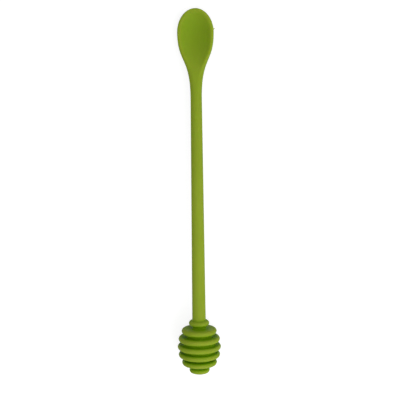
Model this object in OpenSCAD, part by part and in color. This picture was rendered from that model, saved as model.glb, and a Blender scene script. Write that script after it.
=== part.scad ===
// Honey dipper with a ringed dipper head at one end and a small spoon at the other.
// Soft silicone moulded over a thin steel core, lying at rest on its widest ring
// and on the back of its spoon. +Y runs towards the spoon, +Z is up.

/* [Overall] */
// Length from the domed end of the dipper head to the tip of the spoon
overall_length = 200; // [170:5:240]

/* [Dipper head] */
// Diameter of the widest ring
head_d = 24.1; // [20:0.1:28]
// Diameter of the collar ring and of the ring at the domed end
end_ring_d = 11.3; // [10:0.1:15]
// Rings on each side of the widest one
side_rings = 3; // [2:1:4]
// Distance from one ring to the next
ring_pitch = 4.45; // [4:0.05:5.5]
// Thickness that a ring would have at the axis
ring_root_t = 3.4; // [2.6:0.1:3.5]
// Draft angle of the ring walls
ring_draft = 1.5; // [0.5:0.5:3]
// Depth of a groove below the smaller of its two rings
groove_depth = 2.8; // [1.5:0.1:4]
// Fillet where the handle meets the collar ring
collar_fillet = 0.4; // [0.2:0.1:0.8]
// How far the domed end bulges past the last ring
dome_rise = 0.8; // [0.4:0.1:2]

/* [Handle] */
// Handle diameter where it meets the collar
handle_head_d = 7.5; // [6.6:0.1:8]
// Handle diameter where it meets the spoon's neck
handle_neck_d = 6.1; // [5.4:0.1:6.6]

/* [Spoon] */
// Width of the spoon at its widest
spoon_w = 19.4; // [16:0.1:24]
// Distance from the tip to the widest place
front_length = 12.6; // [11:0.1:17]
// Distance from the tip to where the neck has become the round handle
spoon_length = 47; // [42:0.5:60]
// How far the full width holds on behind the widest place
shoulder_pull = 16.1; // [8:0.1:17]
// How far the slim neck reaches forward to the bowl
neck_pull = 21.7; // [12:0.1:24]
// Distance from the tip to where the hollow has faded out in the neck
hollow_length = 34; // [29:0.5:37]
// Depth of the hollow below the rim
bowl_depth = 4.2; // [3.5:0.1:7]
// Thickness of the bowl under its deepest place
bowl_wall = 1.6; // [1.2:0.1:2.5]
// Width of the rim round the hollow
rim_w = 1.7; // [1.2:0.1:2.2]
// Height of the rim above the mould's parting plane
rim_rise = 0.9; // [0.6:0.1:1.4]
// Radius of the rim's outer edge
rim_edge_r = 0.9; // [0.5:0.1:1.1]
// Width of the blend between the rim and the hollow
rim_blend = 0.7; // [0.2:0.1:1]
// How full the hollow's walls are, 2 for a parabola
bowl_fullness = 2.2; // [2:0.1:3.5]

/* [Rest] */
// How far the soft widest ring is pressed flat where the tool lies on it
ring_flat = 0.35; // [0.1:0.05:0.4]
// How far the soft back of the spoon is pressed flat there
back_flat = 0.1; // [0.05:0.05:0.3]

/* [Steel core] */
// Diameter of the core rod
core_d = 3; // [2:0.1:3.4]
// Width of the rod's two flattened ends
flat_w = 4.2; // [3.6:0.1:4.6]
// Thickness of the flattened ends
flat_t = 1.6; // [1:0.1:2]
// Length of each flattened end
flat_length = 9; // [6:0.5:11]

/* [Hidden] */
$fn = 96;

silicone_green = [0.53, 0.63, 0.17];
steel_grey = [0.72, 0.73, 0.74];

// Steps along the spoon's front, along its flank, across its top and across its back
front_steps = 12;
flank_steps = 24;
top_steps = 28;
back_steps = 18;
least_blend = 0.001;

head_r = head_d / 2;
end_ring_r = end_ring_d / 2;
handle_head_r = handle_head_d / 2;
handle_neck_r = handle_neck_d / 2;

// The ring crests follow an ellipse that passes through the end rings
crest_half_length = side_rings / sqrt(1 - pow(end_ring_r / head_r, 2));
function crest_r(k) = head_r * sqrt(1 - pow(k / crest_half_length, 2));

// A ring's nose is the circle that touches its crest and both its drafted walls
nose_factor = cos(ring_draft) / (1 - sin(ring_draft));
function nose_r(k) = (ring_root_t / 2 - crest_r(k) * tan(ring_draft)) * nose_factor;
function nose_centre(k) = crest_r(k) - nose_r(k);

// A groove's floor is the circle that touches its bottom and both its walls
groove_root_w = (ring_pitch - ring_root_t) / 2;
function floor_r(k) = max(handle_head_r, min(crest_r(k), crest_r(k + 1)) - groove_depth);
function floor_round(k) = (groove_root_w + floor_r(k) * tan(ring_draft)) * nose_factor;

// The dome is the sphere that touches the last ring's nose from inside
last_nose_r = nose_r(side_rings);
last_nose_x = nose_centre(side_rings);
dome_reach = last_nose_r + dome_rise;
dome_r = (pow(last_nose_x, 2) + pow(dome_reach, 2) - pow(last_nose_r, 2)) / (2 * dome_rise);

// Places along the axis, counted from the widest ring towards the spoon
collar_at = side_rings * ring_pitch;
dome_end_at = -side_rings * ring_pitch - dome_reach;
collar_fillet_r = min(collar_fillet, nose_centre(side_rings) - handle_head_r);
collar_face_at = collar_at + ring_root_t / 2 - handle_head_r * tan(ring_draft);
handle_from = collar_face_at + collar_fillet_r;
spoon_tip_at = dome_end_at + overall_length;
handle_to = spoon_tip_at - spoon_length;
core_from = -(side_rings - 1) * ring_pitch;
core_to = spoon_tip_at - hollow_length;

// The spoon's widest half and how deep its back reaches under the axis
spoon_r = spoon_w / 2;
back_depth = bowl_depth - rim_rise + bowl_wall;

// Cubic curve through a to d, with b and c as its handles
function bezier(a, b, c, d, u) =
    pow(1 - u, 3) * a + 3 * pow(1 - u, 2) * u * b + 3 * (1 - u) * u * u * c + u * u * u * d;

// The lesser of a and b, with the corner between them rounded over the width k
function soft_min(a, b, k) = min(a, b) - pow(max(k - abs(a - b), 0), 2) / (4 * k);

// A station is [distance from the tip, half width, share of the bowl in the section].
// The front follows an ellipse, the flank a curve that eases into the round neck.
front_stations = [
    for (i = [1 : front_steps])
        let (angle = 90 * i / front_steps)
        [front_length * (1 - cos(angle)), spoon_r * sin(angle), 1]
];
flank_stations = [
    for (i = [1 : flank_steps])
        let (
            u = i / flank_steps,
            distance = bezier(front_length, front_length + shoulder_pull,
                              spoon_length - neck_pull, spoon_length, u),
            share = bezier(1, 1, 0, 0, u)
        )
        [distance, handle_neck_r + (spoon_r - handle_neck_r) * share, share]
];
stations = concat(front_stations, flank_stations);

// Value at a station that goes from the handle's to the bowl's
function eased(station, at_handle, at_bowl) = at_handle + (at_bowl - at_handle) * station[2];

// How far the front's ellipse has opened at a station, 1 from the widest place on
function front_opening(distance, reach) =
    distance >= reach ? 1 : sqrt(1 - pow(1 - distance / reach, 2));

function back_depth_at(station) =
    eased(station, handle_neck_r, back_depth) * front_opening(station[0], front_length);

// Height of the section's outer skin over the parting plane, x from the middle
function crown_at(station, x) =
    let (
        height = eased(station, handle_neck_r, rim_rise) * front_opening(station[0], rim_edge_r),
        edge = min(station[1], eased(station, handle_neck_r, rim_edge_r)),
        past = max(0, abs(x) - (station[1] - edge)) / edge
    )
    height * sqrt(max(0, 1 - past * past));

// How much of the hollow's depth is left at a distance from the tip. It fades out in the neck.
function hollow_left(distance) =
    let (along = max(0, distance - front_length) / (hollow_length - front_length))
    pow(max(0, 1 - along * along), 2);

// Height of the hollow's surface: half an oval bowl in front, a channel as wide as the
// flanks allow behind
function hollow_at(station, x) =
    let (
        along = max(0, front_length - station[0]) / (front_length - rim_w),
        half_w = (along > 0 ? spoon_r : station[1]) - rim_w,
        q = sqrt(along * along + pow(x / half_w, 2))
    )
    eased(station, handle_neck_r, rim_rise)
        - bowl_depth * hollow_left(station[0]) * (1 - pow(q, bowl_fullness));

// Height of the top, whose rim gets sharper as the hollow fades out
function top_at(station, x) =
    let (blend = max(rim_blend * sqrt(hollow_left(station[0])), least_blend))
    soft_min(crown_at(station, x), hollow_at(station, x), blend);

// One closed section, from the right edge over the top to the left and back underneath.
// The blend is faded out at the very edge, so that top and back meet on the parting plane.
function section(station) =
    let (
        y = spoon_tip_at - station[0],
        half_w = station[1],
        depth = back_depth_at(station)
    )
    concat(
        [for (i = [0 : top_steps - 1])
            let (x = half_w * cos(180 * i / top_steps))
            [x, y, i == 0 ? 0 : top_at(station, x)]],
        [for (i = [0 : back_steps - 1])
            let (angle = 180 + 180 * i / back_steps)
            [half_w * cos(angle), y, depth * sin(angle)]]
    );

// How far the tool leans so that its widest ring and the spoon's back, both pressed flat,
// lie on z = 0
widest_nose_x = nose_centre(0);
rest_r = nose_r(0) - ring_flat;
function lean_on(station) =
    let (
        along = spoon_tip_at - station[0],
        drop = widest_nose_x - back_depth_at(station)
    )
    atan2(drop, along) + asin((rest_r + back_flat) / sqrt(along * along + drop * drop));
rest_lean = min([for (station = stations) lean_on(station)]);
axis_height = widest_nose_x * cos(rest_lean) + rest_r;
middle_at = (spoon_tip_at + dome_end_at) / 2 * cos(rest_lean);

// Lays the tool down from its own axis, which runs along Y through the widest ring
module laid_down() {
    translate([0, -middle_at, axis_height])
        rotate([-rest_lean, 0, 0])
            children();
}

// Turns a solid of revolution about Z so that it runs along the tool's axis
module along_axis() {
    rotate([-90, 0, 0])
        children();
}

// Half section of one ring: two drafted walls and a round nose
module ring_profile(k) {
    x = nose_centre(k) + nose_r(k) * sin(ring_draft);
    half_t = nose_r(k) * cos(ring_draft);
    translate([0, k * ring_pitch]) {
        polygon([[0, -ring_root_t / 2], [x, -half_t], [x, half_t], [0, ring_root_t / 2]]);
        translate([nose_centre(k), 0])
            circle(r = nose_r(k));
    }
}

// Half section of the column between ring k and the next, with a round groove floor
module groove_floor_profile(k) {
    round_r = floor_round(k);
    difference() {
        translate([0, k * ring_pitch])
            square([floor_r(k) + round_r * (1 - sin(ring_draft)), ring_pitch]);
        translate([floor_r(k) + round_r, (k + 0.5) * ring_pitch])
            circle(r = round_r);
    }
}

// Half section of the fillet that carries the handle on from the collar
module collar_fillet_profile() {
    difference() {
        translate([0, collar_at])
            square([handle_head_r + collar_fillet_r, handle_from - collar_at]);
        translate([handle_head_r + collar_fillet_r, handle_from])
            circle(r = collar_fillet_r);
    }
}

// Half section of the domed end
module dome_profile() {
    intersection() {
        translate([0, dome_end_at + dome_r])
            circle(r = dome_r);
        translate([0, dome_end_at])
            square([last_nose_x, dome_reach]);
    }
}

// The core's outline, which also cuts its seat out of the silicone
module core_shape() {
    rod_from = core_from + flat_length;
    rod_to = core_to - flat_length;
    translate([0, rod_from, 0])
        along_axis()
            cylinder(d = core_d, h = rod_to - rod_from);
    flat_end(core_from + flat_w / 2, rod_from);
    flat_end(rod_to, core_to - flat_w / 2);
}

// A pressed flat with round ends, between two places on the axis
module flat_end(from, to) {
    translate([0, 0, -flat_t / 2])
        linear_extrude(flat_t) {
            translate([-flat_w / 2, from])
                square([flat_w, to - from]);
            translate([0, from])
                circle(d = flat_w);
            translate([0, to])
                circle(d = flat_w);
        }
}

// Everything under the surface that the tool lies on
module below_rest() {
    translate([-head_r, -overall_length / 2, -head_r])
        cube([head_d, overall_length, head_r]);
}

// Ringed head with its collar and domed end
module dipper_head() {
    color(silicone_green)
        difference() {
            laid_down()
                along_axis()
                    rotate_extrude() {
                        for (k = [-side_rings : side_rings])
                            ring_profile(k);
                        for (k = [-side_rings : side_rings - 1])
                            groove_floor_profile(k);
                        collar_fillet_profile();
                        dome_profile();
                    }
            laid_down()
                core_shape();
            below_rest();
        }
}

// Round handle that tapers from the collar to the neck
module handle_sleeve() {
    color(silicone_green)
        laid_down()
            difference() {
                translate([0, handle_from, 0])
                    along_axis()
                        cylinder(r1 = handle_head_r, r2 = handle_neck_r, h = handle_to - handle_from);
                core_shape();
            }
}

// Spoon bowl and neck, lofted through the stations
module spoon_bowl() {
    ring_points = top_steps + back_steps;
    last = len(stations) - 1;
    points = concat(
        [[0, spoon_tip_at, 0]],
        [for (station = stations) each section(station)]
    );
    faces = concat(
        [for (j = [0 : ring_points - 1])
            [0, 1 + (j + 1) % ring_points, 1 + j]],
        [for (i = [0 : last - 1], j = [0 : ring_points - 1], half = [0, 1])
            let (
                a = 1 + i * ring_points + j,
                b = 1 + i * ring_points + (j + 1) % ring_points
            )
            half == 0 ? [a, b, b + ring_points] : [a, b + ring_points, a + ring_points]],
        [[for (j = [0 : ring_points - 1]) 1 + last * ring_points + j]]
    );
    color(silicone_green)
        difference() {
            laid_down()
                polyhedron(points, faces);
            laid_down()
                core_shape();
            below_rest();
        }
}

// Steel rod with a pressed flat at each end, which keeps it from turning or pulling out
module core_rod() {
    color(steel_grey)
        laid_down()
            core_shape();
}

dipper_head();
handle_sleeve();
spoon_bowl();
core_rod();
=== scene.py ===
"""Looks of a silicone honey dipper with a spoon end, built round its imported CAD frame.

The silicone skin is one closed loft from the domed end of the dipper head to the tip of
the spoon, with the mould's parting line and its small flaws in the mesh. It stands for
the three silicone nodes. The steel core keeps its own mesh and gets a drawn finish.
All lengths are in metres, in the row frame, unless a name says otherwise.
"""

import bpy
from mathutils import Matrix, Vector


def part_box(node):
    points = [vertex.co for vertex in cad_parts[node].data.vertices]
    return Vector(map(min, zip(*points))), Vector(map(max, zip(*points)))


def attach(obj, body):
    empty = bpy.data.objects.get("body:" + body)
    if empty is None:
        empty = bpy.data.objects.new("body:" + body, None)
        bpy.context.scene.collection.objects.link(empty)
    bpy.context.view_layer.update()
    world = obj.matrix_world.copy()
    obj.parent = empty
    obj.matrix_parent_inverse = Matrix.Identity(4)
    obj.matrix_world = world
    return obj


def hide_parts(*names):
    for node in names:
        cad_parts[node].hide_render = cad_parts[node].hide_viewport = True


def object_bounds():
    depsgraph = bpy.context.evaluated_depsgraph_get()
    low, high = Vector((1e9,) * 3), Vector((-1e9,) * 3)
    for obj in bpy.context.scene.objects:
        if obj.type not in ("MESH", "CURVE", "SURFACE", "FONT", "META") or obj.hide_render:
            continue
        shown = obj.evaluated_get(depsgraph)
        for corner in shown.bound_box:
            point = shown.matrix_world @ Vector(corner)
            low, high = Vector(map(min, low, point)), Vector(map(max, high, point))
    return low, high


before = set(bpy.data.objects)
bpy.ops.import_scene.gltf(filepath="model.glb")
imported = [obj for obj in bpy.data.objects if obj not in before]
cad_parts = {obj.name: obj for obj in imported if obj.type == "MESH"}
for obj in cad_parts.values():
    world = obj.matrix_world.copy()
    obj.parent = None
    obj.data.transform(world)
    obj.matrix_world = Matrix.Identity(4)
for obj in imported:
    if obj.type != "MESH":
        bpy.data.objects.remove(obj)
CAD_BOX = [list(corner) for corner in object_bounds()]

import logging
import math
from dataclasses import dataclass, field
from enum import Enum, IntEnum
from typing import ClassVar

import bpy
import numpy as np
from mathutils import Matrix, Vector

LOG = logging.getLogger("honey_dipper")
MM = 0.001
COLLAR_R = 3.75 * MM
NECK_R = 3.05 * MM
TINY = 1e-15
WHITE = (1.0, 1.0, 1.0, 1.0)

# A colour is (red, green, blue, cover) and a half point (place along the axis, distance from it).
Colour = tuple[float, float, float, float]
HalfPoint = tuple[float, float]
Span = tuple[float, float]
Face = tuple[int, ...]
Socket = bpy.types.NodeSocket


class LightRole(Enum):
    """What a studio lamp does for the picture."""

    KEY = "key"
    SIDE = "side"
    FILL = "fill"


class MixSocket(IntEnum):
    """Numbers of a Mix node's sockets for colours, whose names aren't unique."""

    SHARE = 0
    FIRST = 6
    SECOND = 7
    RESULT = 2


def bezier(a: float, b: float, c: float, d: float, u: np.ndarray) -> np.ndarray:
    """Gives a cubic curve from a to d with b and c as its handles.

    Args:
        a: Value at the start.
        b: Handle of the start.
        c: Handle of the end.
        d: Value at the end.
        u: Places along the curve, from 0 to 1.

    Returns:
        The curve's values at those places.
    """
    v = 1 - u
    return v**3 * a + 3 * v**2 * u * b + 3 * v * u**2 * c + u**3 * d


def soft_min(a: np.ndarray, b: np.ndarray, width: float) -> np.ndarray:
    """Gives the lesser of two surfaces, with the corner between them rounded.

    Args:
        a: Heights of one surface.
        b: Heights of the other.
        width: Difference of height over which the corner is rounded.

    Returns:
        The blended heights.
    """
    return np.minimum(a, b) - np.maximum(width - np.abs(a - b), 0) ** 2 / (4 * width)


def arc(centre: HalfPoint, radius: float, start: float, end: float, steps: int) -> list[HalfPoint]:
    """Lists points on a circle of the half section, both ends included.

    Args:
        centre: The circle's middle as (place along the axis, distance from it).
        radius: The circle's radius.
        start: First angle in radians, 0 along the axis towards the spoon.
        end: Last angle in radians.
        steps: How many chords the stretch has.

    Returns:
        Points as (place along the axis, distance from it).
    """
    angles = np.linspace(start, end, steps + 1)
    return [(centre[0] + radius * math.cos(a), centre[1] + radius * math.sin(a)) for a in angles]


def into_scene(name: str, data: bpy.types.ID) -> bpy.types.Object:
    """Makes an object of a mesh, a lamp or a camera and puts it in the scene.

    Args:
        name: The object's name.
        data: The mesh, lamp or camera.

    Returns:
        The new object.
    """
    made = bpy.data.objects.new(name, data)
    bpy.context.scene.collection.objects.link(made)
    return made


@dataclass(frozen=True)
class Columns:
    """The points that every cross-section has, counted from the right edge over the top.

    Attributes:
        per_half: How many points each half has.
        seam_offsets: Distances from the parting plane at which columns follow the seam.
    """

    per_half: int = 104
    seam_offsets: tuple[float, ...] = (0.05 * MM, 0.1 * MM, 0.16 * MM, 0.26 * MM)

    def angles(self, edge_radius: float) -> np.ndarray:
        """Spreads one half's angles, with the first and last few kept close to the seam.

        Args:
            edge_radius: The section's radius of curvature at its two edges.

        Returns:
            Angles from 0 up to but not including pi.
        """
        even = math.pi / self.per_half
        offsets = enumerate(self.seam_offsets, start=1)
        near = [min(offset / max(edge_radius, TINY), i * even) for i, offset in offsets]
        rest = self.per_half - 2 * len(near) - 1
        middle = np.linspace(near[-1], math.pi - near[-1], rest + 2)[1:-1]
        far = [math.pi - a for a in reversed(near)]
        return np.array([0.0, *near, *middle, *far])


@dataclass(frozen=True)
class Section:
    """One closed cross-section of the skin, square to the tool's axis.

    Attributes:
        place: Its place along the axis, counted from the widest ring towards the spoon.
        x: Points' distances to the right of the axis.
        z: Points' heights over the axis.
    """

    place: float
    x: np.ndarray
    z: np.ndarray


@dataclass
class DipperHead:
    """The ringed head, its collar and its domed end, as one revolved half section.

    Attributes:
        widest_r: Radius of the widest ring, in the head's middle.
        end_ring_r: Radius of the last ring on either side.
        side_rings: How many rings there are on either side of the widest.
        ring_pitch: Distance from ring to ring.
        ring_root_t: Thickness that a ring's drafted walls would have on the axis.
        ring_draft: Angle of a ring's walls.
        groove_depth: Depth of a groove under the lesser of its two crests.
        collar_fillet: Radius that is asked for between the collar and the handle.
        dome_rise: How far the domed end stands out past the last ring.
        column_r: Least radius of the column that carries the rings.
        nose_steps: Chords round a ring's nose.
        floor_steps: Chords round a groove's floor.
        wall_steps: Stretches in a ring's wall.
        dome_steps: Chords over the domed end.
        least_wall: Length over which a wall is worth dividing.
    """

    widest_r: float = 12.05 * MM
    end_ring_r: float = 5.65 * MM
    side_rings: int = 3
    ring_pitch: float = 4.45 * MM
    ring_root_t: float = 3.4 * MM
    ring_draft: float = math.radians(1.5)
    groove_depth: float = 2.8 * MM
    collar_fillet: float = 0.4 * MM
    dome_rise: float = 0.8 * MM
    column_r: float = COLLAR_R
    nose_steps: int = 14
    floor_steps: int = 12
    wall_steps: int = 6
    dome_steps: int = 14
    least_wall: float = 0.3 * MM

    @property
    def nose_factor(self) -> float:
        """Ratio that makes a circle touch its crest or floor and both drafted walls."""
        return math.cos(self.ring_draft) / (1 - math.sin(self.ring_draft))

    @property
    def last_ring_at(self) -> float:
        """Distance from the widest ring to the last ring on either side."""
        return self.side_rings * self.ring_pitch

    def crest_r(self, ring: int) -> float:
        """Radius of a ring's crest, on the ellipse through the end rings."""
        half = self.side_rings / math.sqrt(1 - (self.end_ring_r / self.widest_r) ** 2)
        return self.widest_r * math.sqrt(1 - (ring / half) ** 2)

    def nose_r(self, ring: int) -> float:
        """Radius of a ring's round nose."""
        return (self.ring_root_t / 2 - self.crest_r(ring) * math.tan(self.ring_draft)) * self.nose_factor

    def nose_centre(self, ring: int) -> float:
        """Distance from the axis to the middle of a ring's nose."""
        return self.crest_r(ring) - self.nose_r(ring)

    def floor_r(self, ring: int) -> float:
        """Radius of the groove floor between a ring and the next one towards the spoon."""
        lesser = min(self.crest_r(ring), self.crest_r(ring + 1))
        return max(self.column_r, lesser - self.groove_depth)

    def floor_round(self, ring: int) -> float:
        """Radius of the round bottom of the groove behind a ring."""
        root_gap = (self.ring_pitch - self.ring_root_t) / 2
        return (root_gap + self.floor_r(ring) * math.tan(self.ring_draft)) * self.nose_factor

    @property
    def dome_end_at(self) -> float:
        """Place of the domed end's tip."""
        return -self.last_ring_at - self.nose_r(self.side_rings) - self.dome_rise

    @property
    def handle_from(self) -> float:
        """Place where the collar's fillet has become the handle."""
        face = self.last_ring_at + self.ring_root_t / 2 - self.column_r * math.tan(self.ring_draft)
        return face + self.fillet_r

    @property
    def fillet_r(self) -> float:
        """Radius of the collar's fillet, held within the collar's flat wall."""
        return min(self.collar_fillet, self.nose_centre(self.side_rings) - self.column_r)

    @property
    def dome_r(self) -> float:
        """Radius of the sphere that touches the last ring's nose from inside.

        Returns:
            The radius.
        """
        nose = self.nose_r(self.side_rings)
        reach = nose + self.dome_rise
        return (self.nose_centre(self.side_rings) ** 2 + reach**2 - nose**2) / (2 * self.dome_rise)

    @property
    def dome_touch(self) -> float:
        """Angle at which the dome meets the last ring's nose, 0 towards the spoon."""
        along = -self.last_ring_at - self.dome_end_at - self.dome_r
        return math.atan2(self.nose_centre(self.side_rings), along)

    def dome(self) -> list[HalfPoint]:
        """Lists the half section of the domed end, from the axis to the last ring's nose."""
        centre = (self.dome_end_at + self.dome_r, 0.0)
        return arc(centre, self.dome_r, math.pi, self.dome_touch, self.dome_steps)[:-1]

    def nose(self, ring: int) -> list[HalfPoint]:
        """Lists the round nose of one ring, from its wall at the domed end to the other.

        Args:
            ring: The ring's number, 0 for the widest and more towards the spoon.

        Returns:
            Points of the half section.
        """
        centre = (ring * self.ring_pitch, self.nose_centre(ring))
        start = self.dome_touch if ring == -self.side_rings else math.pi - self.ring_draft
        return arc(centre, self.nose_r(ring), start, self.ring_draft, self.nose_steps)

    def groove(self, ring: int) -> list[HalfPoint]:
        """Lists the round floor of the groove between one ring and the next.

        Args:
            ring: Number of the ring on the domed end's side of the groove.

        Returns:
            Points of the half section.
        """
        radius = self.floor_round(ring)
        centre = ((ring + 1 / 2) * self.ring_pitch, self.floor_r(ring) + radius)
        start, end = math.pi + self.ring_draft, 2 * math.pi - self.ring_draft
        return arc(centre, radius, start, end, self.floor_steps)

    def collar(self) -> list[HalfPoint]:
        """Lists the fillet that leads from the collar's wall to the handle.

        Returns:
            Points of the half section.
        """
        centre = (self.handle_from, self.column_r + self.fillet_r)
        start, end = math.pi + self.ring_draft, 3 / 2 * math.pi
        return arc(centre, self.fillet_r, start, end, self.floor_steps // 2)

    def profile(self) -> list[HalfPoint]:
        """Strings the whole half section together, walls filled in evenly.

        Returns:
            Points as (place along the axis, distance from it), from the dome's tip on.
        """
        stretches = [self.dome()]
        for ring in range(-self.side_rings, self.side_rings + 1):
            stretches.append(self.nose(ring))
            stretches.append(self.groove(ring) if ring < self.side_rings else self.collar())
        points = list(stretches[0])
        for stretch in stretches[1:]:
            if math.dist(points[-1], stretch[0]) > self.least_wall:
                wall = np.linspace(points[-1], stretch[0], self.wall_steps + 1)[1:-1]
                points += [tuple(point) for point in wall]
            points += stretch
        return points


@dataclass
class Handle:
    """The round handle, which tapers from the collar to the spoon's neck.

    Attributes:
        head_r: Radius at the collar.
        neck_r: Radius at the neck.
        steps: Stretches along the handle.
    """

    head_r: float = COLLAR_R
    neck_r: float = NECK_R
    steps: int = 90

    def profile(self, start: float, end: float) -> list[HalfPoint]:
        """Lists the handle's half section, without its two end points.

        Args:
            start: Place of the collar's end.
            end: Place of the neck's start.

        Returns:
            Points as (place along the axis, distance from it).
        """
        places = np.linspace(start, end, self.steps + 1)[1:-1]
        radii = np.interp(places, (start, end), (self.head_r, self.neck_r))
        return list(zip(places.tolist(), radii.tolist()))


@dataclass
class Spoon:
    """The oval bowl with its rounded rim and the neck that carries it to the handle.

    Attributes:
        width: Width at the widest place.
        front_length: Distance from the tip to the widest place.
        length: Distance from the tip to the handle.
        shoulder_pull: How far the flank's curve is pulled on from the widest place.
        neck_pull: How far it is pulled back from the handle.
        hollow_length: Distance from the tip at which the hollow has faded out.
        bowl_depth: Depth of the hollow under the rim.
        bowl_wall: Thickness of the shell under the hollow.
        rim_w: Distance from the outline to the hollow.
        rim_rise: Height of the rim over the parting plane.
        rim_edge_r: Radius of the rim's outer edge.
        rim_blend: Height over which the rim's inner edge is rounded.
        least_blend: What is left of that rounding where the hollow has faded out.
        bowl_fullness: Power of the hollow's cross curve, 2 for a parabola and more for a flatter floor.
        neck_r: Radius where the neck becomes the handle.
        front_steps: Sections in front of the widest place.
        flank_steps: Sections behind it.
        curve_points: Points at which the flank's curve is worked out.
    """

    width: float = 19.4 * MM
    front_length: float = 12.6 * MM
    length: float = 47 * MM
    shoulder_pull: float = 16.1 * MM
    neck_pull: float = 21.7 * MM
    hollow_length: float = 34 * MM
    bowl_depth: float = 4.2 * MM
    bowl_wall: float = 1.6 * MM
    rim_w: float = 1.7 * MM
    rim_rise: float = 0.9 * MM
    rim_edge_r: float = 0.9 * MM
    rim_blend: float = 0.7 * MM
    least_blend: float = 0.001 * MM
    bowl_fullness: float = 2.2
    neck_r: float = NECK_R
    front_steps: int = 40
    flank_steps: int = 68
    curve_points: int = 801

    def share(self, distance: float) -> float:
        """Gives how much of the bowl is in a section, 1 at the widest place and 0 at the handle.

        Args:
            distance: How far the section is from the spoon's tip.

        Returns:
            The share.
        """
        u = np.linspace(0, 1, self.curve_points)
        along = bezier(
            self.front_length,
            self.front_length + self.shoulder_pull,
            self.length - self.neck_pull,
            self.length,
            u,
        )
        return float(np.interp(distance, along, bezier(1, 1, 0, 0, u)))

    def eased(self, distance: float, at_handle: float, at_bowl: float) -> float:
        """Gives a size that goes from the handle's to the bowl's along the flank."""
        return at_handle + (at_bowl - at_handle) * self.share(distance)

    @staticmethod
    def opening(distance: float, reach: float) -> float:
        """Gives how far an ellipse that starts at the tip has opened, up to 1 at its reach."""
        return 1.0 if distance >= reach else math.sqrt(1 - (1 - distance / reach) ** 2)

    def half_width(self, distance: float) -> float:
        """Gives the outline's half width at a distance from the tip."""
        flank = self.eased(distance, self.neck_r, self.width / 2)
        return flank * self.opening(distance, self.front_length)

    def back_depth(self, distance: float) -> float:
        """Gives how deep the back reaches under the parting plane."""
        deepest = self.bowl_depth - self.rim_rise + self.bowl_wall
        return self.eased(distance, self.neck_r, deepest) * self.opening(distance, self.front_length)

    def crown_height(self, distance: float) -> float:
        """Gives the height of the outer skin's top over the parting plane."""
        return self.eased(distance, self.neck_r, self.rim_rise) * self.opening(distance, self.rim_edge_r)

    def edge_round(self, distance: float) -> float:
        """Gives the radius that rounds the top's outer edge."""
        return min(self.half_width(distance), self.eased(distance, self.neck_r, self.rim_edge_r))

    def crown(self, distance: float, x: np.ndarray) -> np.ndarray:
        """Gives the outer skin's heights across a section.

        Args:
            distance: How far the section is from the spoon's tip.
            x: Distances to the right of the axis.

        Returns:
            Heights over the parting plane.
        """
        edge = self.edge_round(distance)
        past = np.maximum(0, np.abs(x) - (self.half_width(distance) - edge)) / edge
        return self.crown_height(distance) * np.sqrt(np.maximum(0, 1 - past**2))

    def hollow_left(self, distance: float) -> float:
        """Gives how much of the hollow's depth is left, which fades out in the neck."""
        along = max(0.0, distance - self.front_length) / (self.hollow_length - self.front_length)
        return max(0.0, 1 - along**2) ** 2

    def hollow(self, distance: float, x: np.ndarray) -> np.ndarray:
        """Gives the hollow's heights across a section: half an oval in front, a channel behind.

        Args:
            distance: How far the section is from the spoon's tip.
            x: Distances to the right of the axis.

        Returns:
            Heights over the parting plane.
        """
        along = max(0.0, self.front_length - distance) / (self.front_length - self.rim_w)
        flank = self.width / 2 if along > 0 else self.half_width(distance)
        q = np.sqrt(along**2 + (x / (flank - self.rim_w)) ** 2)
        rim = self.eased(distance, self.neck_r, self.rim_rise)
        return rim - self.bowl_depth * self.hollow_left(distance) * (1 - q**self.bowl_fullness)

    def top(self, distance: float, x: np.ndarray) -> np.ndarray:
        """Gives the top's heights, whose rim gets sharper as the hollow fades out."""
        blend = max(self.rim_blend * math.sqrt(self.hollow_left(distance)), self.least_blend)
        return soft_min(self.crown(distance, x), self.hollow(distance, x), blend)

    def section(self, distance: float, tip_at: float, columns: Columns) -> Section:
        """Makes the closed section at a distance from the tip.

        Args:
            distance: How far the section is from the spoon's tip.
            tip_at: Place of the tip along the axis.
            columns: The points that the section has.

        Returns:
            The section, from the right edge over the top to the left and back underneath.
        """
        half = self.half_width(distance)
        depth = self.back_depth(distance)
        edge_top = self.crown_height(distance) * math.sqrt(half / self.edge_round(distance))
        top = columns.angles(edge_top)
        back = columns.angles(depth) + math.pi
        top_x = half * np.cos(top)
        top_z = self.top(distance, top_x)
        top_z[0] = 0.0
        x = np.concatenate([top_x, half * np.cos(back)])
        z = np.concatenate([top_z, depth * np.sin(back)])
        return Section(tip_at - distance, x, z)

    def distances(self, extra: list[float]) -> list[float]:
        """Lists where the sections are, from the neck's start to just before the tip.

        Args:
            extra: Further distances from the tip that need a section of their own.

        Returns:
            Distances from the tip, the greatest first.
        """
        angles = np.linspace(0, math.pi / 2, self.front_steps + 1)[1:]
        front = self.front_length * (1 - np.cos(angles))
        flank = np.linspace(self.front_length, self.length, self.flank_steps + 1)[1:]
        return sorted({*front.tolist(), *flank.tolist(), *extra}, reverse=True)


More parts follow.
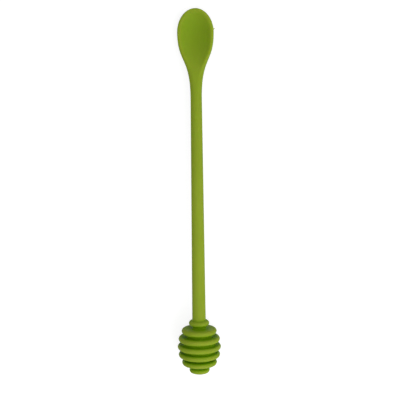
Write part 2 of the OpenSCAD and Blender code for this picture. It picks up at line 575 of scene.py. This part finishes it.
@dataclass(frozen=True)
class Seam:
    """The mould's parting line: a fine ridge in a shallow valley, and one nib of flash.

    Attributes:
        ridge_height: How far the ridge stands over the valley.
        ridge_half_w: Half the ridge's width.
        valley_angle: How far round the section the valley reaches, in radians.
        edge_from: Share of a section's half width outside which the skin's edge begins.
        edge_to: Share of a section's half width outside which the seam is whole.
        tip_fade_w: Half width of the skin under which the seam fades out towards a tip.
        nib_distance: The nib's distance from the spoon's tip.
        nib_reach: How far the nib sticks out.
        nib_lean: How far the nib leans towards the tip, as a share of its reach.
        nib_half_l: Half the nib's length along the edge.
        nib_half_h: Half the nib's height.
        nib_steps: Where the nib needs sections, as shares of its half length.
    """

    ridge_height: float = 0.07 * MM
    ridge_half_w: float = 0.12 * MM
    valley_angle: float = 0.3
    edge_from: float = 0.84
    edge_to: float = 0.9
    tip_fade_w: float = 2 * MM
    nib_distance: float = 11.0 * MM
    nib_reach: float = 0.95 * MM
    nib_lean: float = 0.4
    nib_half_l: float = 0.35 * MM
    nib_half_h: float = 0.18 * MM
    nib_steps: tuple[float, ...] = (-1.0, -0.7, -0.4, -0.15, 0.0, 0.15, 0.4, 0.7, 1.0)

    def nib_places(self) -> list[float]:
        """Lists the distances from the tip at which the nib needs sections."""
        return [self.nib_distance + step * self.nib_half_l for step in self.nib_steps]

    def at_edge(self, grid: np.ndarray) -> np.ndarray:
        """Tells the skin's outer edges from the inside of the bowl.

        Args:
            grid: Sections by columns by (x, along, up).

        Returns:
            Values from 0 inside the bowl to 1 at the edges.
        """
        off = np.abs(grid[:, :, 0])
        share = off / np.maximum(off.max(axis=1, keepdims=True), TINY)
        return np.clip((share - self.edge_from) / (self.edge_to - self.edge_from), 0, 1)

    def lift(self, grid: np.ndarray) -> np.ndarray:
        """Gives how far the skin moves out along its normal.

        Args:
            grid: Sections by columns by (x, along, up).

        Returns:
            Offsets, 0 on the ridge's crest and far from the seam.
        """
        off, height = np.abs(grid[:, :, 0]), np.abs(grid[:, :, 2])
        valley = np.exp(-((np.arctan2(height, off) / self.valley_angle) ** 2))
        ridge = np.clip(1 - height / self.ridge_half_w, 0, 1)
        near_tip = np.clip(off.max(axis=1, keepdims=True) / self.tip_fade_w, 0, 1)
        return self.ridge_height * (ridge - valley) * near_tip * self.at_edge(grid)


@dataclass(frozen=True)
class ToolAxis:
    """Where the tool's own axis lies in the row frame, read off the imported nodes.

    Attributes:
        ROUNDS: How often the lean is worked out anew from the last one.
        lean: How far the axis leans down towards the spoon, in radians.
        origin: The widest ring's middle in the row frame.
    """

    ROUNDS: ClassVar[int] = 4

    lean: float
    origin: Vector

    @classmethod
    def from_frame(cls, head: DipperHead, handle: Handle) -> "ToolAxis":
        """Works the axis out from the boxes of the handle's and the head's nodes.

        Args:
            head: Sizes of the dipper head.
            handle: Sizes of the handle.

        Returns:
            The axis.
        """
        low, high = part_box("handle_sleeve")
        radii = handle.head_r + handle.neck_r
        lean = 0.0
        for _ in range(cls.ROUNDS):
            rise = high.z - low.z - radii * math.cos(lean)
            run = high.y - low.y - radii * math.sin(lean)
            lean = math.atan2(rise, run)
        head_low, head_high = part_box("dipper_head")
        dome_centre = head.dome_end_at + head.dome_r
        origin = Vector((
            (head_low.x + head_high.x) / 2,
            head_low.y + head.dome_r - dome_centre * math.cos(lean),
            head_high.z - head.nose_r(0) - head.nose_centre(0) * math.cos(lean),
        ))
        return cls(lean, origin)

    @property
    def along(self) -> Vector:
        """Direction of the axis towards the spoon."""
        return Vector((0, math.cos(self.lean), -math.sin(self.lean)))

    @property
    def up(self) -> Vector:
        """Direction out of the spoon's hollow, square to the axis."""
        return Vector((0, math.sin(self.lean), math.cos(self.lean)))

    def place(self, points: np.ndarray) -> np.ndarray:
        """Turns points of the tool's own frame (x, along, up) into the row frame."""
        basis = np.array([(1, 0, 0), tuple(self.along), tuple(self.up)])
        return points @ basis + np.array(self.origin)

    def point(self, along: float) -> Vector:
        """Gives the point on the axis at a place counted from the widest ring."""
        return self.origin + self.along * along


@dataclass(frozen=True)
class Pattern:
    """A noise over a finish and how it shows there.

    Attributes:
        scale: How many features fit in a metre.
        detail: How many finer layers it has.
        span: Values of the noise from which it starts to show and at which it shows most.
        share: How much of it shows at most.
    """

    scale: float
    detail: float
    span: Span = (0.3, 0.7)
    share: float = 1.0


@dataclass(frozen=True)
class Relief:
    """How strongly a height shows as unevenness of a surface.

    Attributes:
        strength: Share of the slopes that shows.
        depth: Height between the lowest and the highest place.
    """

    strength: float
    depth: float


class NodeSketch:
    """A small helper that adds shader nodes to a material or a world and wires them up."""

    def __init__(self, owner: bpy.types.Material | bpy.types.World) -> None:
        """Starts an empty node tree.

        Args:
            owner: The new material or world that the nodes belong to.
        """
        self.owner = owner
        self.owner.use_nodes = True
        self.tree = self.owner.node_tree
        self.tree.nodes.clear()

    def add(self, kind: str, settings: dict[str, object] | None = None, **inputs: object) -> bpy.types.Node:
        """Adds one node.

        Args:
            kind: The node's type, without its ShaderNode prefix.
            settings: Properties of the node itself.
            **inputs: Socket values or sockets to link, by socket name with _ for a space.

        Returns:
            The new node.
        """
        node = self.tree.nodes.new("ShaderNode" + kind)
        for key, value in (settings or {}).items():
            setattr(node, key, value)
        for key, value in inputs.items():
            self.feed(node, key.replace("_", " "), value)
        return node

    def feed(self, node: bpy.types.Node, socket: str | int, value: object) -> None:
        """Sets a socket to a value, or links another node's socket to it.

        Args:
            node: The node that is fed.
            socket: Name or number of its socket.
            value: A plain value, or the socket of another node.
        """
        if isinstance(value, Socket):
            self.tree.links.new(value, node.inputs[socket])
        else:
            node.inputs[socket].default_value = value

    def place(self) -> Socket:
        """Gives the object's own coordinates, which are the row frame's metres."""
        return self.add("TexCoord").outputs["Object"]

    def noise(self, pattern: Pattern, place: Socket | None = None) -> Socket:
        """Gives a pattern's plain noise, from 0 to 1.

        Args:
            pattern: The pattern.
            place: Coordinates that it follows, the object's own if there are none.

        Returns:
            The noise's value.
        """
        at = self.place() if place is None else place
        node = self.add("TexNoise", Vector=at, Scale=pattern.scale, Detail=pattern.detail)
        return node.outputs["Fac"]

    def shown(self, pattern: Pattern, noise: Socket) -> Socket:
        """Gives how much of a pattern shows, from its noise."""
        return self.ramp(noise, pattern.span, (0.0, pattern.share))

    def ramp(self, value: Socket, span: Span, out: Span = (0.0, 1.0)) -> Socket:
        """Stretches a value's range, held within its new ends.

        Args:
            value: The value to stretch.
            span: Values that become the two ends of the new range.
            out: The new range's two ends.

        Returns:
            The stretched value.
        """
        node = self.add("MapRange", {"clamp": True}, Value=value, From_Min=span[0], From_Max=span[1],
                        To_Min=out[0], To_Max=out[1])
        return node.outputs[0]

    def mix(self, share: object, first: object, second: object) -> Socket:
        """Mixes two colours.

        Args:
            share: How much of the second there is.
            first: One colour, or a socket that gives it.
            second: The other colour, or its socket.

        Returns:
            The mixed colour.
        """
        node = self.add("Mix", {"data_type": "RGBA"})
        self.feed(node, MixSocket.SHARE, share)
        self.feed(node, MixSocket.FIRST, first)
        self.feed(node, MixSocket.SECOND, second)
        return node.outputs[MixSocket.RESULT]

    def work_out(self, operation: str, first: object, second: object) -> Socket:
        """Works one sum on two values.

        Args:
            operation: The Math node's own name for the sum.
            first: One value, or a socket that gives it.
            second: The other value, or its socket.

        Returns:
            The result.
        """
        node = self.add("Math", {"operation": operation})
        self.feed(node, 0, first)
        self.feed(node, 1, second)
        return node.outputs[0]

    def uneven(self, relief: Relief, height: Socket, **under: object) -> Socket:
        """Gives the normals that a height makes, over a coarser unevenness where one is named."""
        bump = self.add("Bump", Strength=relief.strength, Distance=relief.depth, Height=height, **under)
        return bump.outputs[0]

    def seen(self) -> Socket:
        """Tells rays that see from rays that light.

        Returns:
            1 for rays from the camera, a reflection or a lens, and 0 for all others.
        """
        path = self.add("LightPath")
        straight = path.outputs["Is Camera Ray"]
        for other in ("Is Glossy Ray", "Is Transmission Ray"):
            straight = self.work_out("MAXIMUM", straight, path.outputs[other])
        return straight

    def finish(self, shader: bpy.types.Node) -> bpy.types.Material | bpy.types.World:
        """Wires a shader to the output.

        Args:
            shader: The node that gives the surface or the background.

        Returns:
            The finished material or world.
        """
        output = self.add("OutputWorld" if isinstance(self.owner, bpy.types.World) else "OutputMaterial")
        self.feed(output, "Surface", shader.outputs[0])
        return self.owner


@dataclass(frozen=True)
class SiliconeFinish:
    """Satin moulded silicone, coloured through, with a fine matt grain, a little dust, painted shade and a
    painted glow.

    Attributes:
        name: The material's name.
        base: The silicone's main colour.
        deeper: Its colour in clouds and mottles.
        painted_cavity_shade: Painted shade, a deeper green where its own walls close it in.
        painted_spoon_shade: Painted shade, a darker green at the spoon's end of the tool.
        painted_rim_glow: Painted light, a brighter colour where it is thin enough to let light through.
        dust: Colour of the specks of dust.
        ior: How strongly it bends light.
        specular_level: How much of that shows as gloss.
        scatter_share: Share of the light that wanders inside it.
        scatter_reach: How far that light wanders.
        scatter_by_colour: Share of that reach for red, green and blue.
        groove_reach: How far off a wall still closes a groove in.
        bowl_reach: How far off one still closes the bowl in.
        cavity_span: Share of open sky at which a place is closed in, and at which it is open.
        bowl_span: Places along the tool between which the bowl's painted shade and the rim's painted glow
            begin.
        bowl_share: How much of the painted cavity shade shows in the bowl.
        spoon_shade_span: Places along the tool between which the painted shade towards the spoon grows.
        thin_reach: Thickness under which the painted rim glow shows.
        thin_span: Share of inward looks that meet no far side, where it is thin and where it is thick.
        thin_share: How much of the painted rim glow shows there.
        clouds: Wide clouds of tint.
        mottle: Mottles of tint and gloss.
        specks: Specks of dust.
        gloss_span: Values of the mottles between which the gloss goes from most to least.
        roughness: Roughness where the gloss is most and least.
        wave_pattern: Fine waves of the surface.
        waves: How deep the waves are.
        grain_pattern: The matt grain.
        grain: How deep the grain is.
    """

    name: str = "green_silicone"
    base: Colour = (0.274, 0.360, 0.027, 1)
    deeper: Colour = (0.252, 0.340, 0.024, 1)
    # Painted shade where the silicone closes a place in.
    painted_cavity_shade: Colour = (0.165, 0.330, 0.0, 1)
    # Painted shade towards the spoon.
    painted_spoon_shade: Colour = (0.248, 0.346, 0.021, 1)
    # Painted glow on the thin rim.
    painted_rim_glow: Colour = (0.350, 0.440, 0.020, 1)
    dust: Colour = (0.34, 0.40, 0.10, 1)
    ior: float = 1.41
    specular_level: float = 0.05
    scatter_share: float = 0.3
    scatter_reach: float = 0.6 * MM
    scatter_by_colour: tuple[float, float, float] = (0.5, 1.0, 0.1)
    groove_reach: float = 8 * MM
    bowl_reach: float = 14 * MM
    cavity_span: Span = (0.5, 1.0)
    bowl_span: Span = (45 * MM, 65 * MM)
    bowl_share: float = 0.9
    spoon_shade_span: Span = (0 * MM, 60 * MM)
    thin_reach: float = 1.0 * MM
    thin_span: Span = (0.6, 1.0)
    thin_share: float = 0.8
    clouds: Pattern = Pattern(scale=55.0, detail=3)
    mottle: Pattern = Pattern(scale=420.0, detail=4, span=(0.45, 0.75), share=0.35)
    specks: Pattern = Pattern(scale=1500.0, detail=1, span=(0.74, 0.8), share=0.5)
    gloss_span: Span = (0.3, 0.7)
    roughness: Span = (0.42, 0.56)
    wave_pattern: Pattern = Pattern(scale=252.0, detail=2)
    waves: Relief = Relief(strength=0.35, depth=0.05 * MM)
    grain_pattern: Pattern = Pattern(scale=5200.0, detail=2)
    grain: Relief = Relief(strength=0.5, depth=0.02 * MM)

    def closed_in(self, sketch: NodeSketch, reach: float) -> Socket:
        """Gives how closed in a place is by the silicone within a reach, from 0 in the open to 1."""
        # The share of painted cavity shade follows how closed in the place is.
        around = sketch.add("AmbientOcclusion", {"only_local": True}, Distance=reach)
        return sketch.ramp(around.outputs["AO"], self.cavity_span, (1.0, 0.0))

    def thin(self, sketch: NodeSketch) -> Socket:
        """Gives how much painted glow a place gets, light painted in where the silicone is thin.

        Args:
            sketch: The material's nodes.

        Returns:
            The share of the painted rim glow, 0 where the silicone is thick.
        """
        settings = {"only_local": True, "inside": True}
        within = sketch.add("AmbientOcclusion", settings, Distance=self.thin_reach)
        return sketch.ramp(within.outputs["AO"], self.thin_span, (self.thin_share, 0.0))

    def moulded_tint(self, sketch: NodeSketch, mottle: Socket) -> Socket:
        """Gives the silicone's own colour, with clouds, mottles and specks of dust.

        Args:
            sketch: The material's nodes.
            mottle: Noise of the mottles.

        Returns:
            The colour.
        """
        clouds = sketch.shown(self.clouds, sketch.noise(self.clouds))
        tint = sketch.mix(clouds, self.base, self.deeper)
        tint = sketch.mix(sketch.shown(self.mottle, mottle), tint, self.deeper)
        specks = sketch.shown(self.specks, sketch.noise(self.specks))
        return sketch.mix(specks, tint, self.dust)

    def with_painted_light(self, sketch: NodeSketch, tint: Socket) -> Socket:
        """Paints shade and light into a colour by its place on the tool.

        Args:
            sketch: The material's nodes.
            tint: The colour without its place.

        Returns:
            The colour, with painted shade towards the spoon and where it is closed in, and a painted glow
            on the thin rim.
        """
        along = sketch.add("SeparateXYZ", Vector=sketch.place()).outputs["Y"]
        # Painted shade that turns the colour a darker green towards the spoon.
        tint = sketch.mix(sketch.ramp(along, self.spoon_shade_span), tint, self.painted_spoon_shade)
        # Painted shade in the bowl and the grooves, where the silicone closes a place in.
        spoon = sketch.ramp(along, self.bowl_span)
        in_bowl = sketch.work_out("MULTIPLY", spoon, self.bowl_share)
        painted_shade_share = sketch.work_out("MULTIPLY", in_bowl, self.closed_in(sketch, self.bowl_reach))
        painted_shade_share = sketch.work_out("MAXIMUM", painted_shade_share, self.closed_in(sketch, self.groove_reach))
        tint = sketch.mix(painted_shade_share, tint, self.painted_cavity_shade)
        # Painted glow that brightens the thin rim of the bowl.
        return sketch.mix(sketch.work_out("MULTIPLY", spoon, self.thin(sketch)), tint, self.painted_rim_glow)

    def material(self) -> bpy.types.Material:
        """Builds the silicone material.

        Returns:
            The material.
        """
        sketch = NodeSketch(bpy.data.materials.new(self.name))
        mottle = sketch.noise(self.mottle)
        tint = self.with_painted_light(sketch, self.moulded_tint(sketch, mottle))
        waves = sketch.uneven(self.waves, sketch.noise(self.wave_pattern))
        grain = sketch.uneven(self.grain, sketch.noise(self.grain_pattern), Normal=waves)
        shader = sketch.add(
            "BsdfPrincipled",
            Base_Color=tint,
            Roughness=sketch.ramp(mottle, self.gloss_span, self.roughness),
            IOR=self.ior,
            Specular_IOR_Level=self.specular_level,
            Subsurface_Weight=self.scatter_share,
            Subsurface_Radius=self.scatter_by_colour,
            Subsurface_Scale=self.scatter_reach,
            Normal=grain,
        )
        return sketch.finish(shader)


@dataclass(frozen=True)
class DrawnSteelFinish:
    """Drawn stainless steel rod, with fine lines along its length.

    Attributes:
        name: The material's name.
        base: The steel's main colour.
        darker: Its colour in the lines.
        lines: Noise of the lines.
        stretch: How the noise's scale changes across, along and up the tool.
        roughness: Roughness of the least and the most worn lines.
        relief: How deep the lines are.
    """

    name: str = "drawn_steel"
    base: Colour = (0.52, 0.53, 0.54, 1)
    darker: Colour = (0.40, 0.41, 0.42, 1)
    lines: Pattern = Pattern(scale=9000.0, detail=3)
    stretch: tuple[float, float, float] = (1, 0.01, 1)
    roughness: Span = (0.24, 0.42)
    relief: Relief = Relief(strength=0.4, depth=0.01 * MM)

    def material(self) -> bpy.types.Material:
        """Builds the steel material.

        Returns:
            The material.
        """
        sketch = NodeSketch(bpy.data.materials.new(self.name))
        stretched = sketch.add("Mapping", Vector=sketch.place(), Scale=self.stretch)
        lines = sketch.noise(self.lines, stretched.outputs[0])
        shader = sketch.add(
            "BsdfPrincipled",
            Base_Color=sketch.mix(lines, self.base, self.darker),
            Roughness=sketch.ramp(lines, self.lines.span, self.roughness),
            Metallic=1.0,
            Normal=sketch.uneven(self.relief, lines),
        )
        return sketch.finish(shader)


@dataclass(frozen=True)
class FloorFinish:
    """A plain pale floor that shows white, keeps the object's shadow and throws little light back.

    Attributes:
        name: The material's name.
        seen_colour: The matt colour that the eye and reflections see.
        lighting_colour: The matt colour that throws light back.
        seen_lift: Glow that lifts the seen colour to white.
    """

    name: str = "pale_floor"
    seen_colour: Colour = (0.38, 0.38, 0.38, 1)
    lighting_colour: Colour = (0.14, 0.14, 0.14, 1)
    seen_lift: float = 0.765

    def material(self) -> bpy.types.Material:
        """Builds the floor: a matt surface, lifted to white for the eye and for reflections.

        Returns:
            The material.
        """
        sketch = NodeSketch(bpy.data.materials.new(self.name))
        seen = sketch.seen()
        matt = sketch.add("BsdfDiffuse", Color=sketch.mix(seen, self.lighting_colour, self.seen_colour))
        lift = sketch.work_out("MULTIPLY", seen, self.seen_lift)
        glow = sketch.add("Emission", Color=WHITE, Strength=lift)
        both = sketch.add("AddShader")
        sketch.feed(both, 0, matt.outputs[0])
        sketch.feed(both, 1, glow.outputs[0])
        return sketch.finish(both)


@dataclass
class SiliconeSkin:
    """The one-piece silicone moulding: head, handle and spoon as a single closed loft.

    Attributes:
        head: Sizes of the dipper head.
        handle: Sizes of the handle.
        spoon: Sizes of the spoon.
        seam: The mould's parting line and its nib.
        columns: The points that every section has.
        finish: The silicone's material.
        overall_length: Length of the tool along its axis.
        inset: How far the skin stays under the CAD surface.
        rests_at: Height of the table, under which no point goes.
        stands_for: CAD nodes that the skin replaces.
    """

    head: DipperHead = field(default_factory=DipperHead)
    handle: Handle = field(default_factory=Handle)
    spoon: Spoon = field(default_factory=Spoon)
    seam: Seam = field(default_factory=Seam)
    columns: Columns = field(default_factory=Columns)
    finish: SiliconeFinish = field(default_factory=SiliconeFinish)
    overall_length: float = 200 * MM
    inset: float = 0.015 * MM
    rests_at: float = CAD_BOX[0][2]
    stands_for: tuple[str, ...] = ("dipper_head", "handle_sleeve", "spoon_bowl")

    @property
    def tip_at(self) -> float:
        """Place of the spoon's tip along the axis."""
        return self.head.dome_end_at + self.overall_length

    def round_section(self, place: float, radius: float) -> Section:
        """Makes a round section of the head or the handle.

        Args:
            place: Its place along the axis.
            radius: Its radius.

        Returns:
            The section.
        """
        half = self.columns.angles(radius)
        turn = np.concatenate([half, half + math.pi])
        return Section(place, radius * np.cos(turn), radius * np.sin(turn))

    def sections(self) -> list[Section]:
        """Makes every section of the loft.

        Returns:
            Sections, from the one next to the dome's tip to the one next to the spoon's tip.
        """
        profile = self.head.profile()[1:]
        neck_at = self.tip_at - self.spoon.length
        profile += self.handle.profile(self.head.handle_from, neck_at)
        made = [self.round_section(place, radius) for place, radius in profile]
        for distance in self.spoon.distances(self.seam.nib_places()):
            made.append(self.spoon.section(distance, self.tip_at, self.columns))
        return made

    def grid(self) -> np.ndarray:
        """Stacks the sections into one grid of points in the tool's own frame.

        Returns:
            An array of sections by columns by (x, along, up), seam and nib included.
        """
        stacked = [(s.x, np.full_like(s.x, s.place), s.z) for s in self.sections()]
        grid = np.array([np.stack(parts, axis=1) for parts in stacked])
        lift = self.seam.lift(grid) - self.inset
        return self.with_nib(grid + self.normals(grid) * lift[:, :, None])

    @staticmethod
    def normals(grid: np.ndarray) -> np.ndarray:
        """Works out the outward normals of a grid of sections.

        Args:
            grid: Sections by columns by (x, along, up).

        Returns:
            Unit vectors in the same layout.
        """
        round_step = np.roll(grid, -1, axis=1) - np.roll(grid, 1, axis=1)
        along_step = np.gradient(grid, axis=0)
        normals = np.cross(along_step, round_step)
        return normals / np.maximum(np.linalg.norm(normals, axis=2, keepdims=True), TINY)

    def with_nib(self, grid: np.ndarray) -> np.ndarray:
        """Pulls a tiny flake of flash out of the spoon's right edge.

        Args:
            grid: Sections by columns by (x, along, up).

        Returns:
            The grid with the nib.
        """
        seam = self.seam
        off = (grid[:, :, 1] - (self.tip_at - seam.nib_distance)) / seam.nib_half_l
        along = np.clip(1 - np.abs(off), 0, 1)
        across = np.clip(1 - np.abs(grid[:, :, 2]) / seam.nib_half_h, 0, 1)
        pull = seam.nib_reach * along * across * seam.at_edge(grid) * (grid[:, :, 0] > 0)
        grid[:, :, 0] += pull
        grid[:, :, 1] += seam.nib_lean * pull
        return grid

    def faces(self, rows: int, count: int) -> list[Face]:
        """Lists the loft's faces, with a fan at each end.

        Args:
            rows: How many sections there are.
            count: How many points a section has.

        Returns:
            Faces by vertex number; the last two vertices are the two tips.
        """
        faces = []
        for row in range(rows - 1):
            for j in range(count):
                a, b = row * count + j, row * count + (j + 1) % count
                faces.append((a, a + count, b + count, b))
        dome_tip, spoon_tip = rows * count, rows * count + 1
        last = (rows - 1) * count
        for j in range(count):
            after = (j + 1) % count
            faces.append((dome_tip, j, after))
            faces.append((spoon_tip, last + after, last + j))
        return faces

    def build(self, axis: ToolAxis) -> bpy.types.Object:
        """Builds the skin's mesh in the row frame and dresses it.

        Args:
            axis: Where the tool's own axis lies.

        Returns:
            The skin's object.
        """
        grid = self.grid()
        rows, count = grid.shape[:2]
        tips = np.array([(0, self.head.dome_end_at + self.inset, 0), (0, self.tip_at - self.inset, 0)])
        points = axis.place(np.concatenate([grid.reshape(-1, 3), tips]))
        points[:, 2] = np.maximum(points[:, 2], self.rests_at)
        mesh = bpy.data.meshes.new("silicone_skin")
        mesh.from_pydata(points.tolist(), [], self.faces(rows, count))
        mesh.polygons.foreach_set("use_smooth", [True] * len(mesh.polygons))
        mesh.validate()
        mesh.update()
        mesh.materials.append(self.finish.material())
        skin = into_scene("silicone_skin", mesh)
        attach(skin, "root")
        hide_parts(*self.stands_for)
        return skin


@dataclass
class CoreRod:
    """The steel core inside the silicone, which keeps its CAD mesh.

    Attributes:
        node: The core's CAD node.
        finish: The steel's material.
    """

    node: str = "core_rod"
    finish: DrawnSteelFinish = field(default_factory=DrawnSteelFinish)

    def dress(self) -> bpy.types.Object:
        """Gives the CAD node its drawn steel finish.

        Returns:
            The core's object.
        """
        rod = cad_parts[self.node]
        rod.data.materials.clear()
        rod.data.materials.append(self.finish.material())
        return rod


@dataclass
class PhotoCamera:
    """The camera of the photograph, placed by where it sees the tool.

    Attributes:
        frame_px: Side of the square picture.
        focal_px: Focal length in pixels of that picture.
        spoon_tip_px: Row of the spoon's tip.
        dome_tip_px: Row of the domed end.
        axis_px: Column of the tool's axis in the picture's middle row.
        off_square: Angle between the view and a square look at the axis, from the spoon's side.
        roll: Angle by which the tool leans in the picture, its spoon to the left.
        sensor: Width of the camera's sensor, in millimetres as the camera counts it.
        clip: Nearest and farthest distance that the camera sees.
    """

    frame_px: float = 400.0
    focal_px: float = 900.0
    spoon_tip_px: float = 8.0
    dome_tip_px: float = 373.5
    axis_px: float = 197.5
    off_square: float = math.radians(8)
    roll: float = math.radians(0.7)
    sensor: float = 36.0
    clip: Span = (0.01, 50.0)

    def reach_at(self, row: float) -> float:
        """Gives how far below the picture's middle a row meets the axis, in camera distances."""
        off = row - self.frame_px / 2
        return off / (self.focal_px * math.cos(self.off_square) - off * math.sin(self.off_square))

    def directions(self, axis: ToolAxis) -> tuple[Vector, Vector, Vector]:
        """Works out the camera's own directions.

        Args:
            axis: Where the tool's own axis lies.

        Returns:
            Its right, its up, and its back, which points from the tool to the camera.
        """
        back = axis.up * math.cos(self.off_square) + axis.along * math.sin(self.off_square)
        up = axis.along * math.cos(self.off_square) - axis.up * math.sin(self.off_square)
        turned = Matrix.Rotation(-self.roll, 3, back)
        return turned @ up.cross(back), turned @ up, back

    def build(self, axis: ToolAxis, skin: SiliconeSkin) -> bpy.types.Object:
        """Makes the camera and sets it as the scene's.

        Args:
            axis: Where the tool's own axis lies.
            skin: The skin, for the places of its two ends.

        Returns:
            The camera's object.
        """
        towards_head = self.reach_at(self.dome_tip_px)
        towards_spoon = self.reach_at(self.spoon_tip_px)
        distance = skin.overall_length / (towards_head - towards_spoon)
        aim = axis.point(skin.head.dome_end_at + towards_head * distance)
        right, up, back = self.directions(axis)
        shift = (self.frame_px / 2 - self.axis_px) * distance / self.focal_px
        data = bpy.data.cameras.new("photo_camera")
        data.sensor_width = self.sensor
        data.lens = self.sensor * self.focal_px / self.frame_px
        data.clip_start, data.clip_end = self.clip
        camera = into_scene("photo_camera", data)
        basis = Matrix((right, up, back)).transposed()
        camera.matrix_world = Matrix.Translation(aim + back * distance + right * shift) @ basis.to_4x4()
        bpy.context.scene.camera = camera
        return camera


@dataclass(frozen=True)
class Lamp:
    """One soft lamp of the studio.

    Attributes:
        role: What the lamp does.
        direction: Direction from the object to the lamp.
        distance: Distance from the object to the lamp.
        side: Length of the lamp's square face.
        level: Share of a full white level that the lamp gives at the object.
    """

    role: LightRole
    direction: tuple[float, float, float]
    distance: float
    side: float
    level: float

    def build(self, aim: Vector) -> bpy.types.Object:
        """Hangs the lamp and points it at a place.

        Args:
            aim: The place.

        Returns:
            The lamp's object.
        """
        data = bpy.data.lights.new(f"{self.role.value}_lamp", "AREA")
        data.shape = "SQUARE"
        data.size = self.side
        data.energy = self.level * math.pi**2 * self.distance**2
        lamp = into_scene(data.name, data)
        towards = Vector(self.direction).normalized()
        lamp.location = aim + towards * self.distance
        lamp.rotation_mode = "QUATERNION"
        lamp.rotation_quaternion = towards.to_track_quat("Z", "Y")
        return lamp


@dataclass
class Studio:
    """The pale floor, the white surroundings and the soft lamps.

    Attributes:
        floor_side: Length of the floor's sides.
        floor_finish: The floor's material.
        ambient: Share of a full white level at which the surroundings light the object.
        lamps: The lamps.
    """

    floor_side: float = 6.0
    floor_finish: FloorFinish = field(default_factory=FloorFinish)
    ambient: float = 0.63
    lamps: tuple[Lamp, ...] = (
        Lamp(LightRole.KEY, direction=(0.6, -0.8, 1.0), distance=0.34, side=0.25, level=0.33),
        Lamp(LightRole.SIDE, direction=(1.0, 0.3, 0.5), distance=0.40, side=0.3, level=0.26),
        Lamp(LightRole.FILL, direction=(-1.0, -0.6, 1.0), distance=0.44, side=0.3, level=0.07),
    )

    def lay_floor(self) -> bpy.types.Object:
        """Lays the floor at the height on which the tool rests.

        Returns:
            The floor's object.
        """
        half = self.floor_side / 2
        corners = [(-half, -half, 0), (half, -half, 0), (half, half, 0), (-half, half, 0)]
        mesh = bpy.data.meshes.new("floor")
        mesh.from_pydata(corners, [], [(0, 1, 2, 3)])
        mesh.materials.append(self.floor_finish.material())
        floor = into_scene("floor", mesh)
        return floor

    def light_world(self) -> bpy.types.World:
        """Makes surroundings that look white but light the object at a plain level.

        Returns:
            The world.
        """
        sketch = NodeSketch(bpy.data.worlds.new("studio"))
        level = sketch.ramp(sketch.seen(), (0.0, 1.0), (self.ambient, 1.0))
        world = sketch.finish(sketch.add("Background", Color=WHITE, Strength=level))
        bpy.context.scene.world = world
        return world

    def build(self, aim: Vector) -> None:
        """Builds the whole studio.

        Args:
            aim: The place at which the lamps point.
        """
        self.lay_floor()
        self.light_world()
        for lamp in self.lamps:
            lamp.build(aim)
            LOG.info("lamp %s at level %.2f", lamp.role.value, lamp.level)


def main() -> None:
    """Builds the skin, the core, the camera and the studio in order."""
    logging.basicConfig(level=logging.INFO, format="%(name)s: %(message)s")
    bpy.context.scene.view_settings.view_transform = "Standard"
    skin = SiliconeSkin()
    axis = ToolAxis.from_frame(skin.head, skin.handle)
    LOG.info("axis leans %.2f degrees", math.degrees(axis.lean))
    camera = PhotoCamera().build(axis, skin)
    LOG.info("camera at %s", [round(c, 3) for c in camera.location])
    piece = skin.build(axis)
    LOG.info("%s: %d faces", piece.name, len(piece.data.polygons))
    rod = CoreRod().dress()
    LOG.info("%s: %d faces", rod.name, len(rod.data.polygons))
    Studio().build(axis.point(skin.tip_at - skin.overall_length / 2))


if __name__ == "__main__":
    main()
